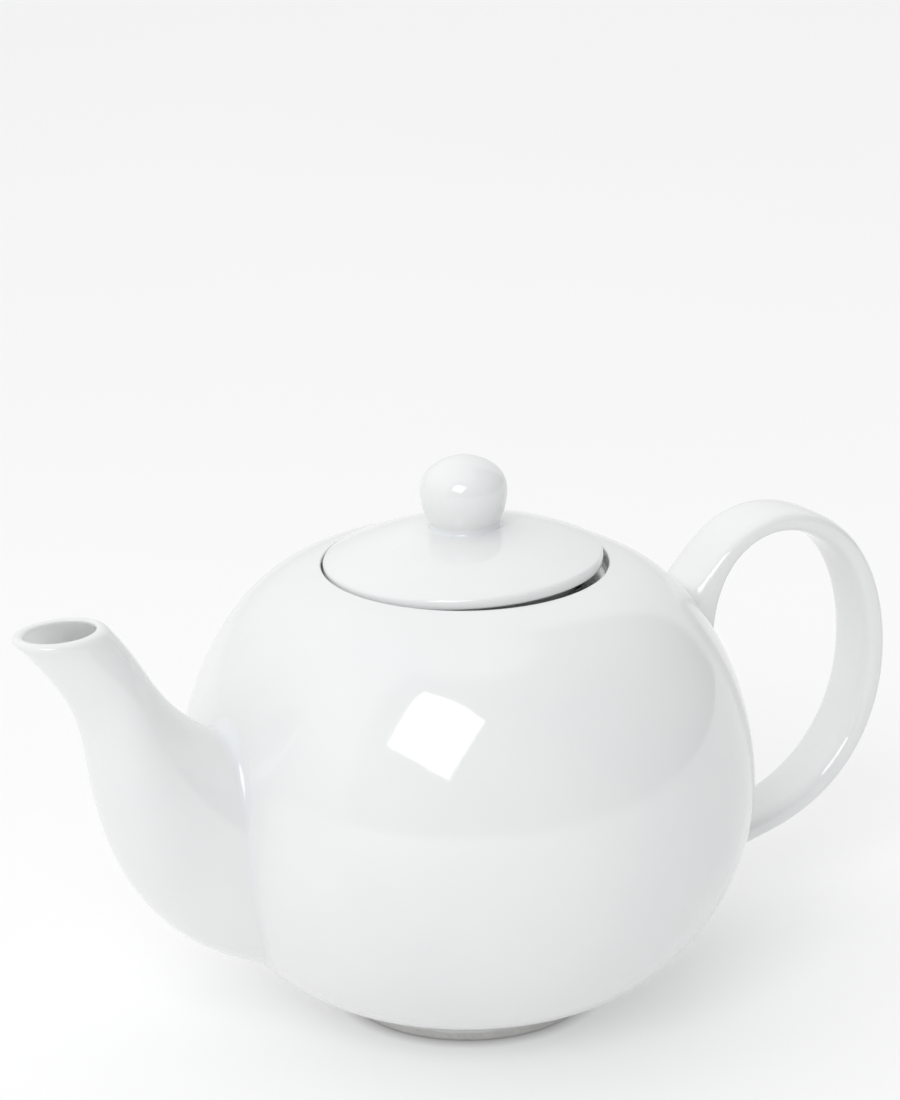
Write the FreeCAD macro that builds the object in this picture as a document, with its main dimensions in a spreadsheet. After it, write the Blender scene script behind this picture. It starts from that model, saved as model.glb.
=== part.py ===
import FreeCAD, Part
import math
import os
import Sketcher

# A round porcelain teapot with a spout, a strap handle, a lid and a steel infuser basket.
# Millimetres, +Z up. The origin is on the pot's axis at the level of the table.
# The handle points along +X and the spout along -X.

os.makedirs("parts", exist_ok=True)
doc = FreeCAD.newDocument("TeapotInfuser")

# ---------------------------------------------------------------- driving dimensions

DIMENSIONS = {
    # pot body: four tangent arcs make its outline, all struck from the centres below
    "belly_radius": 75.0,
    "belly_height": 60.3,
    "shoulder_centre_radius": 28.5,
    "shoulder_centre_height": 81.4,
    "lower_centre_radius": 14.4,
    "base_centre_radius": 24.8,
    "base_centre_height": 51.8,
    "wall": 4.2,
    "opening_radius": 36.8,
    "rim_fillet": 0.6,
    "ledge_height": 116.0,
    "ledge_inner_radius": 32.8,
    "ledge_underside": 109.9,
    "ledge_slope": 1.5,
    "cut_above": 125.0,
    "floor_height": 9.3,
    # strainer holes in the wall behind the spout
    "strainer_hole": 5.0,
    "strainer_height": 52.0,
    "strainer_row_pitch": 7.5,
    "strainer_column_pitch": 8.5,
    # foot ring
    "foot_height": 5.5,
    "foot_inner_radius": 28.0,
    "foot_outer_radius": 32.8,
    "foot_top_radius": 33.7,
    "foot_fillet": 1.0,
    # spout and handle
    "spout_root_wall": 3.6,
    "spout_lip_wall": 2.6,
    "handle_squareness": 3.0,
    # lid
    "lid_seat": 116.8,
    "lid_radius": 35.9,
    "lid_edge_height": 120.5,
    "lid_edge_fillet": 1.4,
    "lid_foot_fillet": 0.5,
    "lid_hollow_height": 123.0,
    "skirt_outer_radius": 29.3,
    "skirt_inner_radius": 25.8,
    "skirt_bottom": 106.4,
    "skirt_fillet": 1.2,
    # knob
    "knob_seat_radius": 9.9,
    "knob_seat_height": 128.3,
    "knob_neck_radius": 8.95,
    "knob_neck_height": 129.7,
    "knob_radius": 11.2,
    "knob_height": 138.3,
    "knob_shoulder": 6.8,
    "knob_top": 146.9,
    # infuser
    "flange_radius": 36.1,
    "flange_sheet": 0.8,
    "collar_outer_radius": 32.2,
    "collar_bottom": 108.4,
    "sleeve_radius": 31.4,
    "sleeve_sheet": 0.5,
    "sleeve_top": 115.4,
    "sleeve_taper_start": 107.4,
    "sleeve_taper_end": 44.0,
    "sleeve_bottom_radius": 29.0,
    "sleeve_bottom": 36.5,
    "sleeve_hole": 1.6,
    "sleeve_hole_pitch": 7.0,
    "pan_sheet": 0.5,
    "pan_lip_height": 42.0,
    "pan_hole": 2.0,
    "pan_ring_pitch": 5.5,
    "seam_sheet": 0.5,
    "seam_angle": 14.0,
    "weld_radius": 1.3,
    "weld_height": 0.3,
    "weld_root": 0.2,
    "weld_pitch": 9.0,
}

# The spout from root to lip: reach and height of its upper line, reach and height of its
# lower line, and half its width. The first station lies inside the pot's wall.
SPOUT_STATIONS = [
    (60.0, 80.0, 60.0, 22.0, 23.0),
    (72.0, 88.0, 78.5, 31.5, 18.7),
    (82.6, 96.4, 96.6, 52.0, 16.0),
    (89.4, 105.0, 104.4, 75.5, 14.4),
    (95.3, 114.6, 109.1, 98.5, 12.5),
    (101.6, 123.0, 125.1, 122.2, 9.5),
]
SPOUT_SIZES = ("top_reach", "top_height", "under_reach", "under_height", "half_width")

# The handle from its upper root to its lower one: reach and height of its centre-line,
# thickness and width. The first and last stations lie inside the pot's wall.
HANDLE_STATIONS = [
    (61.8, 81.5, 20.5, 21.0),
    (68.5, 97.0, 12.0, 18.8),
    (73.5, 105.0, 7.8, 17.8),
    (81.0, 112.0, 6.3, 17.4),
    (92.0, 115.4, 6.0, 17.4),
    (104.0, 113.0, 6.0, 17.4),
    (115.0, 104.8, 6.2, 17.4),
    (122.1, 92.0, 6.4, 17.4),
    (124.8, 77.0, 6.4, 17.4),
    (123.8, 61.4, 6.8, 17.4),
    (117.3, 46.7, 7.0, 17.4),
    (106.3, 35.9, 7.0, 17.4),
    (93.2, 30.0, 6.9, 17.6),
    (79.0, 27.0, 7.8, 18.6),
    (68.0, 25.4, 11.0, 20.5),
    (56.0, 26.5, 14.0, 22.0),
]
HANDLE_SIZES = ("reach", "height", "thickness", "width")

for prefix, stations, names in (
    ("spout", SPOUT_STATIONS, SPOUT_SIZES),
    ("handle", HANDLE_STATIONS, HANDLE_SIZES),
):
    for number, station in enumerate(stations, start=1):
        for name, length in zip(names, station):
            DIMENSIONS["%s%d_%s" % (prefix, number, name)] = length

SLEEVE_COLUMNS = 24
SLEEVE_ROWS = 8
PAN_RINGS = 4
HOLES_PER_RING = 6
WELDS = 6

sheet = doc.addObject("Spreadsheet::Sheet", "Sheet")
for row, (alias, number) in enumerate(DIMENSIONS.items(), start=1):
    sheet.set("A%d" % row, alias)
    sheet.set("B%d" % row, str(number))
    sheet.setAlias("B%d" % row, alias)
doc.recompute()


class Size:
    """A length with its value and the spreadsheet formula that gives it."""

    def __init__(self, value, formula):
        self.value = value
        self.formula = formula

    def __add__(self, other):
        return Size(self.value + other.value, "(%s + %s)" % (self.formula, other.formula))

    def __sub__(self, other):
        return Size(self.value - other.value, "(%s - %s)" % (self.formula, other.formula))


def size(alias):
    return Size(float(sheet.get(alias)), "Sheet." + alias)


NOTHING = Size(0.0, "0")

# ---------------------------------------------------------------- sketch helpers

START, END, CENTRE = 1, 2, 3
ORIGIN, X_AXIS, Y_AXIS = -1, -1, -2


def new_body(label):
    body = doc.addObject("PartDesign::Body", label)
    body.Label = label
    body.Placement = FreeCAD.Placement()
    return body


def origin_plane(body, role):
    return next(item for item in body.Origin.OriginFeatures if item.Role == role)


def new_sketch(body, name, role="XZ_Plane"):
    sketch = body.newObject("Sketcher::SketchObject", name)
    sketch.AttachmentSupport = [(origin_plane(body, role), "")]
    sketch.MapMode = "FlatFace"
    return sketch


def bind(sketch, constraint, formula):
    index = sketch.addConstraint(constraint)
    sketch.setExpression("Constraints[%d]" % index, formula)


def fix_x(sketch, item, point, x):
    """Hold a point at the distance x from the sketch's vertical axis."""
    if x.value == 0:
        sketch.addConstraint(Sketcher.Constraint("PointOnObject", item, point, Y_AXIS))
    else:
        bind(sketch, Sketcher.Constraint("DistanceX", ORIGIN, START, item, point, x.value), x.formula)


def fix_y(sketch, item, point, y):
    """Hold a point at the height y above the sketch's horizontal axis."""
    if y.value == 0:
        sketch.addConstraint(Sketcher.Constraint("PointOnObject", item, point, X_AXIS))
    else:
        bind(sketch, Sketcher.Constraint("DistanceY", ORIGIN, START, item, point, y.value), y.formula)


def fix_radius(sketch, item, radius):
    bind(sketch, Sketcher.Constraint("Radius", item, radius.value), radius.formula)


def join(sketch, first, first_point, second, second_point):
    sketch.addConstraint(Sketcher.Constraint("Coincident", first, first_point, second, second_point))


def tangent(sketch, first, first_point, second, second_point):
    sketch.addConstraint(Sketcher.Constraint("Tangent", first, first_point, second, second_point))


def add_line(sketch, start, end):
    return sketch.addGeometry(
        Part.LineSegment(FreeCAD.Vector(start[0], start[1], 0), FreeCAD.Vector(end[0], end[1], 0)), False
    )


def add_arc(sketch, centre, radius, start_angle, end_angle):
    circle = Part.Circle(FreeCAD.Vector(centre[0], centre[1], 0), FreeCAD.Vector(0, 0, 1), radius)
    return sketch.addGeometry(Part.ArcOfCircle(circle, start_angle, end_angle), False)


def add_outline(sketch, corners, after=None, before=None):
    """Straight lines through the corners, each corner held by its two sizes.

    On its own the outline closes on itself. Given a curve to follow and one to meet, it
    runs from the end of the first, through the corners, to the start of the second.
    """
    points = [(x.value, y.value) for x, y in corners]
    if after is None:
        lines = [add_line(sketch, a, b) for a, b in zip(points, points[1:] + points[:1])]
        join(sketch, lines[-1], END, lines[0], START)
        held = lines
    else:
        leaving = sketch.getPoint(after, END)
        arriving = sketch.getPoint(before, START)
        points = [(leaving.x, leaving.y)] + points + [(arriving.x, arriving.y)]
        lines = [add_line(sketch, a, b) for a, b in zip(points, points[1:])]
        join(sketch, after, END, lines[0], START)
        join(sketch, lines[-1], END, before, START)
        held = lines[1:]
    for first, second in zip(lines, lines[1:]):
        join(sketch, first, END, second, START)
    for line, (x, y) in zip(held, corners):
        fix_x(sketch, line, START, x)
        fix_y(sketch, line, START, y)


def revolve(body, sketch, name, angle=None):
    """Turn a sketch about the pot's axis, all the way round unless an angle is given."""
    feature = body.newObject("PartDesign::Revolution", name)
    feature.Profile = sketch
    feature.ReferenceAxis = (sketch, ["V_Axis"])
    feature.Angle = 360.0
    if angle is not None:
        feature.Midplane = True
        feature.setExpression("Angle", angle.formula)
    return feature


def groove(body, sketch, name):
    feature = body.newObject("PartDesign::Groove", name)
    feature.Profile = sketch
    feature.ReferenceAxis = (sketch, ["V_Axis"])
    feature.Angle = 360.0
    return feature


def pocket(body, sketch, name, depth):
    """Cut the sketch's shapes away behind its plane, to the given depth."""
    feature = body.newObject("PartDesign::Pocket", name)
    feature.Profile = sketch
    feature.Type = "Length"
    feature.Length = depth.value
    feature.setExpression("Length", depth.formula)
    return feature


def repeat_around(body, feature, name, count):
    """Repeat a cut evenly about the body's vertical axis."""
    pattern = body.newObject("PartDesign::PolarPattern", name)
    pattern.Originals = [feature]
    pattern.Axis = (origin_plane(body, "Z_Axis"), [""])
    pattern.Angle = 360
    pattern.Occurrences = count
    body.Tip = pattern
    return pattern


def add_circle(sketch, x, y, radius):
    middle = FreeCAD.Vector(x.value, y.value, 0)
    circle = sketch.addGeometry(Part.Circle(middle, FreeCAD.Vector(0, 0, 1), radius.value), False)
    fix_x(sketch, circle, CENTRE, x)
    fix_y(sketch, circle, CENTRE, y)
    fix_radius(sketch, circle, radius)


SAME_PLACE = 0.05  # two circles this near in radius and height are the same one


def round_circles(body, feature, name, radius, places):
    """Round the full circles of a turned solid that lie at the given radii and heights."""
    doc.recompute()
    names = []
    for index, edge in enumerate(feature.Shape.Edges, start=1):
        if edge.Degenerated or not isinstance(edge.Curve, Part.Circle):
            continue
        for ring, height in places:
            same_radius = abs(edge.Curve.Radius - ring) < SAME_PLACE
            same_height = abs(edge.Curve.Center.z - height) < SAME_PLACE
            if same_radius and same_height:
                names.append("Edge%d" % index)
    fillet = body.newObject("PartDesign::Fillet", name)
    fillet.Base = (feature, names)
    fillet.Radius = radius.value
    fillet.setExpression("Radius", radius.formula)
    return fillet


def turned_body(label, corners, fillet=None, rounded=()):
    """A body turned about the pot's axis from a straight-sided outline, with rounded circles."""
    body = new_body(label)
    sketch = new_sketch(body, label + "_outline")
    add_outline(sketch, corners)
    solid = revolve(body, sketch, label + "_solid")
    if fillet is not None:
        places = [(ring.value, height.value) for ring, height in rounded]
        round_circles(body, solid, label + "_edges", fillet, places)
    return body


# ---------------------------------------------------------------- pot body

# Where the solver starts from, in degrees: the low end of the outer and the inner base arc,
# and the high end of the outer and the inner shoulder arc.
OUTER_BASE_START, INNER_BASE_START = -79, -90
OUTER_SHOULDER_END, INNER_SHOULDER_END = 77, 56


def pot_meridian(sketch, inset, base_start, shoulder_end):
    """The four tangent arcs of the pot's wall, from the base up to the shoulder.

    Both faces of the wall are struck from the same centres, so the inner face is the outer
    one moved in by the inset. Only the belly's radius is stated: tangency gives the others.
    """
    side_centre = (NOTHING, size("belly_height"))
    shoulder_centre = (size("shoulder_centre_radius"), size("shoulder_centre_height"))
    lower_centre = (size("lower_centre_radius"), size("belly_height"))
    base_centre = (size("base_centre_radius"), size("base_centre_height"))
    belly = size("belly_radius") - inset

    def between(first, second):
        across = second[0].value - first[0].value
        up = second[1].value - first[1].value
        return math.hypot(across, up), math.atan2(up, across)

    shoulder_gap, shoulder_turn = between(side_centre, shoulder_centre)
    base_gap, base_turn = between(lower_centre, base_centre)
    side_radius = belly.value
    lower_radius = belly.value - lower_centre[0].value
    arcs = []
    for centre, radius, first, last in (
        (base_centre, lower_radius - base_gap, math.radians(base_start), base_turn),
        (lower_centre, lower_radius, base_turn, 0.0),
        (side_centre, side_radius, 0.0, shoulder_turn),
        (shoulder_centre, side_radius - shoulder_gap, shoulder_turn, math.radians(shoulder_end)),
    ):
        arc = add_arc(sketch, (centre[0].value, centre[1].value), radius, first, last)
        fix_x(sketch, arc, CENTRE, centre[0])
        fix_y(sketch, arc, CENTRE, centre[1])
        arcs.append(arc)
    fix_radius(sketch, arcs[2], belly)
    for below, above in zip(arcs, arcs[1:]):
        tangent(sketch, below, END, above, START)
    return arcs[0], arcs[-1]


pot = new_body("pot_body")
outside = new_sketch(pot, "PotOutside")
base_arc, shoulder_arc = pot_meridian(outside, NOTHING, OUTER_BASE_START, OUTER_SHOULDER_END)
fix_y(outside, base_arc, START, size("foot_height"))
fix_x(outside, shoulder_arc, END, size("opening_radius"))
add_outline(
    outside,
    [(NOTHING, size("cut_above")), (NOTHING, size("foot_height"))],
    after=shoulder_arc,
    before=base_arc,
)
pot_solid = revolve(pot, outside, "PotSolid")
doc.recompute()
rim_height = outside.getPoint(shoulder_arc, END).y
pot_envelope = pot_solid.Shape.copy()

cavity = new_sketch(pot, "PotCavity")
base_arc, shoulder_arc = pot_meridian(cavity, size("wall"), INNER_BASE_START, INNER_SHOULDER_END)
fix_x(cavity, base_arc, START, size("base_centre_radius"))
fix_y(cavity, shoulder_arc, END, size("ledge_underside"))
add_outline(
    cavity,
    [
        (size("ledge_inner_radius"), size("ledge_underside") + size("ledge_slope")),
        (size("ledge_inner_radius"), size("ledge_height")),
        (size("opening_radius"), size("ledge_height")),
        (size("opening_radius"), size("cut_above")),
        (NOTHING, size("cut_above")),
        (NOTHING, size("floor_height")),
    ],
    after=shoulder_arc,
    before=base_arc,
)
pot_hollow = groove(pot, cavity, "PotHollow")

# Rows of holes, alternately three and two across, behind the root of the spout.
strainer = new_sketch(pot, "StrainerHoles", "YZ_Plane")
row_pitch = size("strainer_row_pitch")
column_pitch = size("strainer_column_pitch")
middle = size("strainer_height")
for row in range(-2, 3):
    height = Size(
        middle.value + row * row_pitch.value,
        "(%s + %d * %s)" % (middle.formula, row, row_pitch.formula),
    )
    columns = (-1.0, 0.0, 1.0) if row % 2 == 0 else (-0.5, 0.5)
    for column in columns:
        offset = Size(column * column_pitch.value, "(%g * %s)" % (column, column_pitch.formula))
        radius = Size(size("strainer_hole").value / 2, "(Sheet.strainer_hole / 2)")
        add_circle(strainer, offset, height, radius)
strainer_cut = pocket(pot, strainer, "StrainerCut", size("belly_radius"))
round_circles(
    pot, strainer_cut, "RimRounding", size("rim_fillet"), [(size("opening_radius").value, rim_height)]
)

# ---------------------------------------------------------------- foot ring

turned_body(
    "foot_ring",
    [
        (size("foot_inner_radius"), NOTHING),
        (size("foot_outer_radius"), NOTHING),
        (size("foot_top_radius"), size("foot_height")),
        (size("foot_inner_radius"), size("foot_height")),
    ],
    size("foot_fillet"),
    [(size("foot_inner_radius"), NOTHING), (size("foot_outer_radius"), NOTHING)],
)

# ---------------------------------------------------------------- lid

lid = new_body("lid_dome")
lid_sketch = new_sketch(lid, "LidOutline")
seat, edge_top = size("lid_seat"), size("lid_edge_height")
land, land_height = size("knob_seat_radius"), size("knob_seat_height")
hollow, hollow_top = size("skirt_inner_radius"), size("lid_hollow_height")


def dome_arc(sketch, low, high):
    """An arc struck from the pot's axis, from a low outer point up to a high inner one."""
    drop = (low[0].value ** 2 - high[0].value ** 2) / (high[1].value - low[1].value)
    centre = (low[1].value + high[1].value - drop) / 2
    radius = math.hypot(low[0].value, low[1].value - centre)
    first = math.atan2(low[1].value - centre, low[0].value)
    last = math.atan2(high[1].value - centre, high[0].value)
    arc = add_arc(sketch, (0, centre), radius, first, last)
    fix_x(sketch, arc, CENTRE, NOTHING)
    for point, place in ((START, low), (END, high)):
        fix_x(sketch, arc, point, place[0])
        fix_y(sketch, arc, point, place[1])
    return arc


lid_radius = size("lid_radius")
top_arc = dome_arc(lid_sketch, (lid_radius, edge_top), (land, land_height))
under_arc = dome_arc(lid_sketch, (hollow, seat), (NOTHING, hollow_top))
under_line = add_line(lid_sketch, (hollow.value, seat.value), (lid_radius.value, seat.value))
edge_line = add_line(lid_sketch, (lid_radius.value, seat.value), (lid_radius.value, edge_top.value))
land_line = add_line(lid_sketch, (land.value, land_height.value), (0, land_height.value))
axis_line = add_line(lid_sketch, (0, land_height.value), (0, hollow_top.value))
join(lid_sketch, under_arc, START, under_line, START)
join(lid_sketch, under_line, END, edge_line, START)
join(lid_sketch, edge_line, END, top_arc, START)
join(lid_sketch, top_arc, END, land_line, START)
join(lid_sketch, land_line, END, axis_line, START)
join(lid_sketch, axis_line, END, under_arc, END)
for line, (x, y) in ((edge_line, (lid_radius, seat)), (axis_line, (NOTHING, land_height))):
    fix_x(lid_sketch, line, START, x)
    fix_y(lid_sketch, line, START, y)
lid_solid = revolve(lid, lid_sketch, "LidSolid")
lid_top_edge = round_circles(
    lid, lid_solid, "LidTopEdge", size("lid_edge_fillet"), [(size("lid_radius").value, edge_top.value)]
)
round_circles(
    lid, lid_top_edge, "LidFootEdge", size("lid_foot_fillet"), [(size("lid_radius").value, seat.value)]
)

turned_body(
    "lid_skirt",
    [
        (size("skirt_inner_radius"), size("skirt_bottom")),
        (size("skirt_outer_radius"), size("skirt_bottom")),
        (size("skirt_outer_radius"), size("lid_seat")),
        (size("skirt_inner_radius"), size("lid_seat")),
    ],
    size("skirt_fillet"),
    [
        (size("skirt_inner_radius"), size("skirt_bottom")),
        (size("skirt_outer_radius"), size("skirt_bottom")),
    ],
)

# ---------------------------------------------------------------- knob

knob = new_body("lid_knob")
knob_sketch = new_sketch(knob, "KnobOutline")
neck = (size("knob_neck_radius"), size("knob_neck_height"))
widest = (size("knob_radius"), size("knob_height"))


def side_arc(sketch, low, high):
    """An arc that leaves a low point and stands upright where it meets a higher, wider one."""
    out = high[0].value - low[0].value
    up = high[1].value - low[1].value
    radius = (up ** 2 + out ** 2) / (2 * out)
    arc = add_arc(sketch, (high[0].value - radius, high[1].value), radius, -math.asin(up / radius), 0.0)
    fix_y(sketch, arc, CENTRE, high[1])
    for point, place in ((START, low), (END, high)):
        fix_x(sketch, arc, point, place[0])
        fix_y(sketch, arc, point, place[1])
    return arc


waist_arc = side_arc(knob_sketch, neck, widest)
corner = size("knob_shoulder")
rise = size("knob_top").value - widest[1].value
inward = widest[0].value - corner.value
drop = (inward ** 2 - (rise - corner.value) ** 2) / (2 * (rise - corner.value))
cap_radius = rise + drop
turn = math.atan2(drop, inward)
corner_arc = add_arc(knob_sketch, (inward, widest[1].value), corner.value, 0.0, turn)
cap_arc = add_arc(knob_sketch, (0, widest[1].value - drop), cap_radius, turn, math.pi / 2)
fix_x(knob_sketch, corner_arc, CENTRE, widest[0] - corner)
fix_y(knob_sketch, corner_arc, CENTRE, widest[1])
join(knob_sketch, waist_arc, END, corner_arc, START)
tangent(knob_sketch, corner_arc, END, cap_arc, START)
fix_x(knob_sketch, cap_arc, CENTRE, NOTHING)
fix_x(knob_sketch, cap_arc, END, NOTHING)
fix_y(knob_sketch, cap_arc, END, size("knob_top"))
add_outline(
    knob_sketch,
    [(NOTHING, land_height), (land, land_height)],
    after=cap_arc,
    before=waist_arc,
)
revolve(knob, knob_sketch, "KnobSolid")

# ---------------------------------------------------------------- infuser

flange_top = size("lid_seat")
flange_bottom = flange_top - size("flange_sheet")
collar_inner = size("sleeve_radius")
turned_body(
    "infuser_rim",
    [
        (collar_inner, size("collar_bottom")),
        (size("collar_outer_radius"), size("collar_bottom")),
        (size("collar_outer_radius"), flange_bottom),
        (size("flange_radius"), flange_bottom),
        (size("flange_radius"), flange_top),
        (collar_inner, flange_top),
    ],
)


def sleeve_outline(first, last, bottom, top):
    """The sleeve's cross-section between two insets from its outer face."""
    outer, lower = size("sleeve_radius"), size("sleeve_bottom_radius")
    stations = [
        (lower, bottom),
        (lower, size("sleeve_taper_end")),
        (outer, size("sleeve_taper_start")),
        (outer, top),
    ]
    outward = [(radius - first, height) for radius, height in stations]
    inward = [(radius - last, height) for radius, height in reversed(stations)]
    return outward + inward


sleeve = turned_body(
    "infuser_wall",
    sleeve_outline(NOTHING, size("sleeve_sheet"), size("sleeve_bottom"), size("sleeve_top")),
)
holes = new_sketch(sleeve, "SleeveHoles", "YZ_Plane")
pitch = size("sleeve_hole_pitch")
hole_radius = Size(size("sleeve_hole").value / 2, "(Sheet.sleeve_hole / 2)")
lowest = size("sleeve_taper_end")
for row in range(1, SLEEVE_ROWS + 1):
    height = Size(
        lowest.value + row * pitch.value,
        "(%s + %d * %s)" % (lowest.formula, row, pitch.formula),
    )
    add_circle(holes, NOTHING, height, hole_radius)
hole_cut = pocket(sleeve, holes, "SleeveHoleColumn", size("belly_radius"))
repeat_around(sleeve, hole_cut, "SleeveHolePattern", SLEEVE_COLUMNS)

pan = turned_body(
    "infuser_base",
    [
        (NOTHING, size("sleeve_bottom")),
        (size("sleeve_bottom_radius") - size("sleeve_sheet"), size("sleeve_bottom")),
        (size("sleeve_bottom_radius") - size("sleeve_sheet"), size("pan_lip_height")),
        (size("sleeve_bottom_radius") - size("sleeve_sheet") - size("pan_sheet"), size("pan_lip_height")),
        (
            size("sleeve_bottom_radius") - size("sleeve_sheet") - size("pan_sheet"),
            size("sleeve_bottom") + size("pan_sheet"),
        ),
        (NOTHING, size("sleeve_bottom") + size("pan_sheet")),
    ],
)

for number in range(1, PAN_RINGS + 1):
    ring_sketch = new_sketch(pan, "PanHole%d" % number, "XY_Plane")
    distance = size("pan_ring_pitch")
    place = Size(number * distance.value, "(%d * %s)" % (number, distance.formula))
    add_circle(ring_sketch, place, NOTHING, Size(size("pan_hole").value / 2, "(Sheet.pan_hole / 2)"))
    ring_cut = pocket(pan, ring_sketch, "PanCut%d" % number, size("pan_lip_height"))
    ring_cut.Reversed = True
    doc.recompute()
    repeat_around(pan, ring_cut, "PanRing%d" % number, HOLES_PER_RING * number)

seam = new_body("infuser_seam")
seam_sketch = new_sketch(seam, "SeamOutline")
sheet_inset = size("sleeve_sheet")
strip_inset = sheet_inset + size("seam_sheet")
add_outline(
    seam_sketch,
    sleeve_outline(sheet_inset, strip_inset, size("pan_lip_height"), size("collar_bottom")),
)
revolve(seam, seam_sketch, "SeamStrip", size("seam_angle"))

# Spot welds: low round pads on the strip's inner face, trimmed to its curve.
weld_discs = []
for number in range(1, WELDS + 1):
    height = size("sleeve_taper_end").value + number * size("weld_pitch").value
    rise = (height - size("sleeve_taper_end").value) / (
        size("sleeve_taper_start").value - size("sleeve_taper_end").value
    )
    spread = size("sleeve_radius").value - size("sleeve_bottom_radius").value
    face = size("sleeve_bottom_radius").value + rise * spread - size("sleeve_sheet").value
    face -= size("seam_sheet").value
    disc = doc.addObject("Part::Cylinder", "Weld%d" % number)
    disc.setExpression("Radius", "Sheet.weld_radius")
    disc.setExpression("Height", "Sheet.weld_height + Sheet.weld_root")
    disc.Placement = FreeCAD.Placement(
        FreeCAD.Vector(face - size("weld_height").value, 0, height),
        FreeCAD.Rotation(FreeCAD.Vector(0, 1, 0), 90),
    )
    weld_discs.append(disc)
weld_group = doc.addObject("Part::MultiFuse", "WeldDiscs")
weld_group.Shapes = weld_discs
welds = doc.addObject("Part::Cut", "infuser_spot_welds")
welds.Label = "infuser_spot_welds"
welds.Base = weld_group
welds.Tool = seam
welds.Placement = FreeCAD.Placement()

# ---------------------------------------------------------------- spout and handle

SECTION_POINTS = 24
ELLIPSE = 2.0  # the squareness of a section that is an ellipse
BORE_OVERSHOOT = 1.0


def closed_section(centre, half_length, half_width, squareness):
    """A closed smooth section: half_length is a vector in the pot's upright plane, half_width
    is a length along Y. A squareness of 2 gives an ellipse and more gives a squarer shape."""
    points = []
    for step in range(SECTION_POINTS):
        turn = 2 * math.pi * step / SECTION_POINTS
        along = math.copysign(abs(math.cos(turn)) ** (2 / squareness), math.cos(turn))
        across = math.copysign(abs(math.sin(turn)) ** (2 / squareness), math.sin(turn))
        points.append(centre + half_length * along + FreeCAD.Vector(0, half_width * across, 0))
    curve = Part.BSplineCurve()
    even = [step / SECTION_POINTS for step in range(SECTION_POINTS + 1)]
    curve.interpolate(Points=points, PeriodicFlag=True, Parameters=even)
    return Part.Wire([curve.toShape(0.0, 0.5), curve.toShape(0.5, 1.0)])


def sized(prefix, number, names):
    return [size("%s%d_%s" % (prefix, number, name)).value for name in names]


def spout_loft(inset_root, inset_lip, overshoot):
    """A skin of the spout, moved in from its outer face by an inset at the root and at the lip.

    The overshoot moves its last section on beyond the lip, so that a bore cuts it open.
    """
    sections = []
    count = len(SPOUT_STATIONS)
    for number in range(1, count + 1):
        top_reach, top_height, under_reach, under_height, half_width = sized("spout", number, SPOUT_SIZES)
        top = FreeCAD.Vector(-top_reach, 0, top_height)
        under = FreeCAD.Vector(-under_reach, 0, under_height)
        half_length = (top - under) / 2
        inset = inset_root + (inset_lip - inset_root) * (number - 1) / (count - 1)
        half_length *= 1 - inset / half_length.Length
        sections.append(closed_section((top + under) / 2, half_length, half_width - inset, ELLIPSE))
    sections[-1].translate(half_length.cross(FreeCAD.Vector(0, 1, 0)).normalize() * overshoot)
    return Part.makeLoft(sections, True)


def handle_loft():
    """A flat strap with rounded edges, thickened where it meets the pot."""
    stations = [sized("handle", number, HANDLE_SIZES) for number in range(1, len(HANDLE_STATIONS) + 1)]
    centres = [FreeCAD.Vector(reach, 0, height) for reach, height, _, _ in stations]
    squareness = size("handle_squareness").value
    sections = []
    for index, (_, _, thickness, width) in enumerate(stations):
        before = centres[max(index - 1, 0)]
        after = centres[min(index + 1, len(centres) - 1)]
        run = (after - before).normalize()
        outward = FreeCAD.Vector(-run.z, 0, run.x)
        sections.append(closed_section(centres[index], outward * (thickness / 2), width / 2, squareness))
    return Part.makeLoft(sections, True)


def add_shape(label, shape):
    feature = doc.addObject("Part::Feature", label)
    feature.Label = label
    feature.Shape = shape
    feature.Placement = FreeCAD.Placement()
    return feature


spout_bore = spout_loft(size("spout_root_wall").value, size("spout_lip_wall").value, BORE_OVERSHOOT)
spout = add_shape("spout", spout_loft(0.0, 0.0, 0.0).cut(spout_bore).cut(pot_envelope))
handle = add_shape("handle", handle_loft().cut(pot_envelope))

# ---------------------------------------------------------------- check and write

doc.recompute()
for item in doc.Objects:
    if "Invalid" in item.State or "Error" in item.State:
        raise RuntimeError("%s failed: %s" % (item.Label, item.State))

NODES = [item for item in doc.Objects if item.TypeId == "PartDesign::Body"] + [welds, spout, handle]
for node in NODES:
    if node.Shape.isNull() or not node.Shape.isValid():
        raise RuntimeError("%s has no valid shape" % node.Label)
    node.Shape.exportStep("parts/%s.step" % node.Label)
    print("%-20s %8.0f mm3, %d solids" % (node.Label, node.Shape.Volume, len(node.Shape.Solids)))
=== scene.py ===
from math import acos, asin, atan2, ceil, cos, degrees, hypot, pi, radians, sin, sqrt

import bmesh
import bpy
import numpy as np
from mathutils import Matrix, Vector


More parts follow.
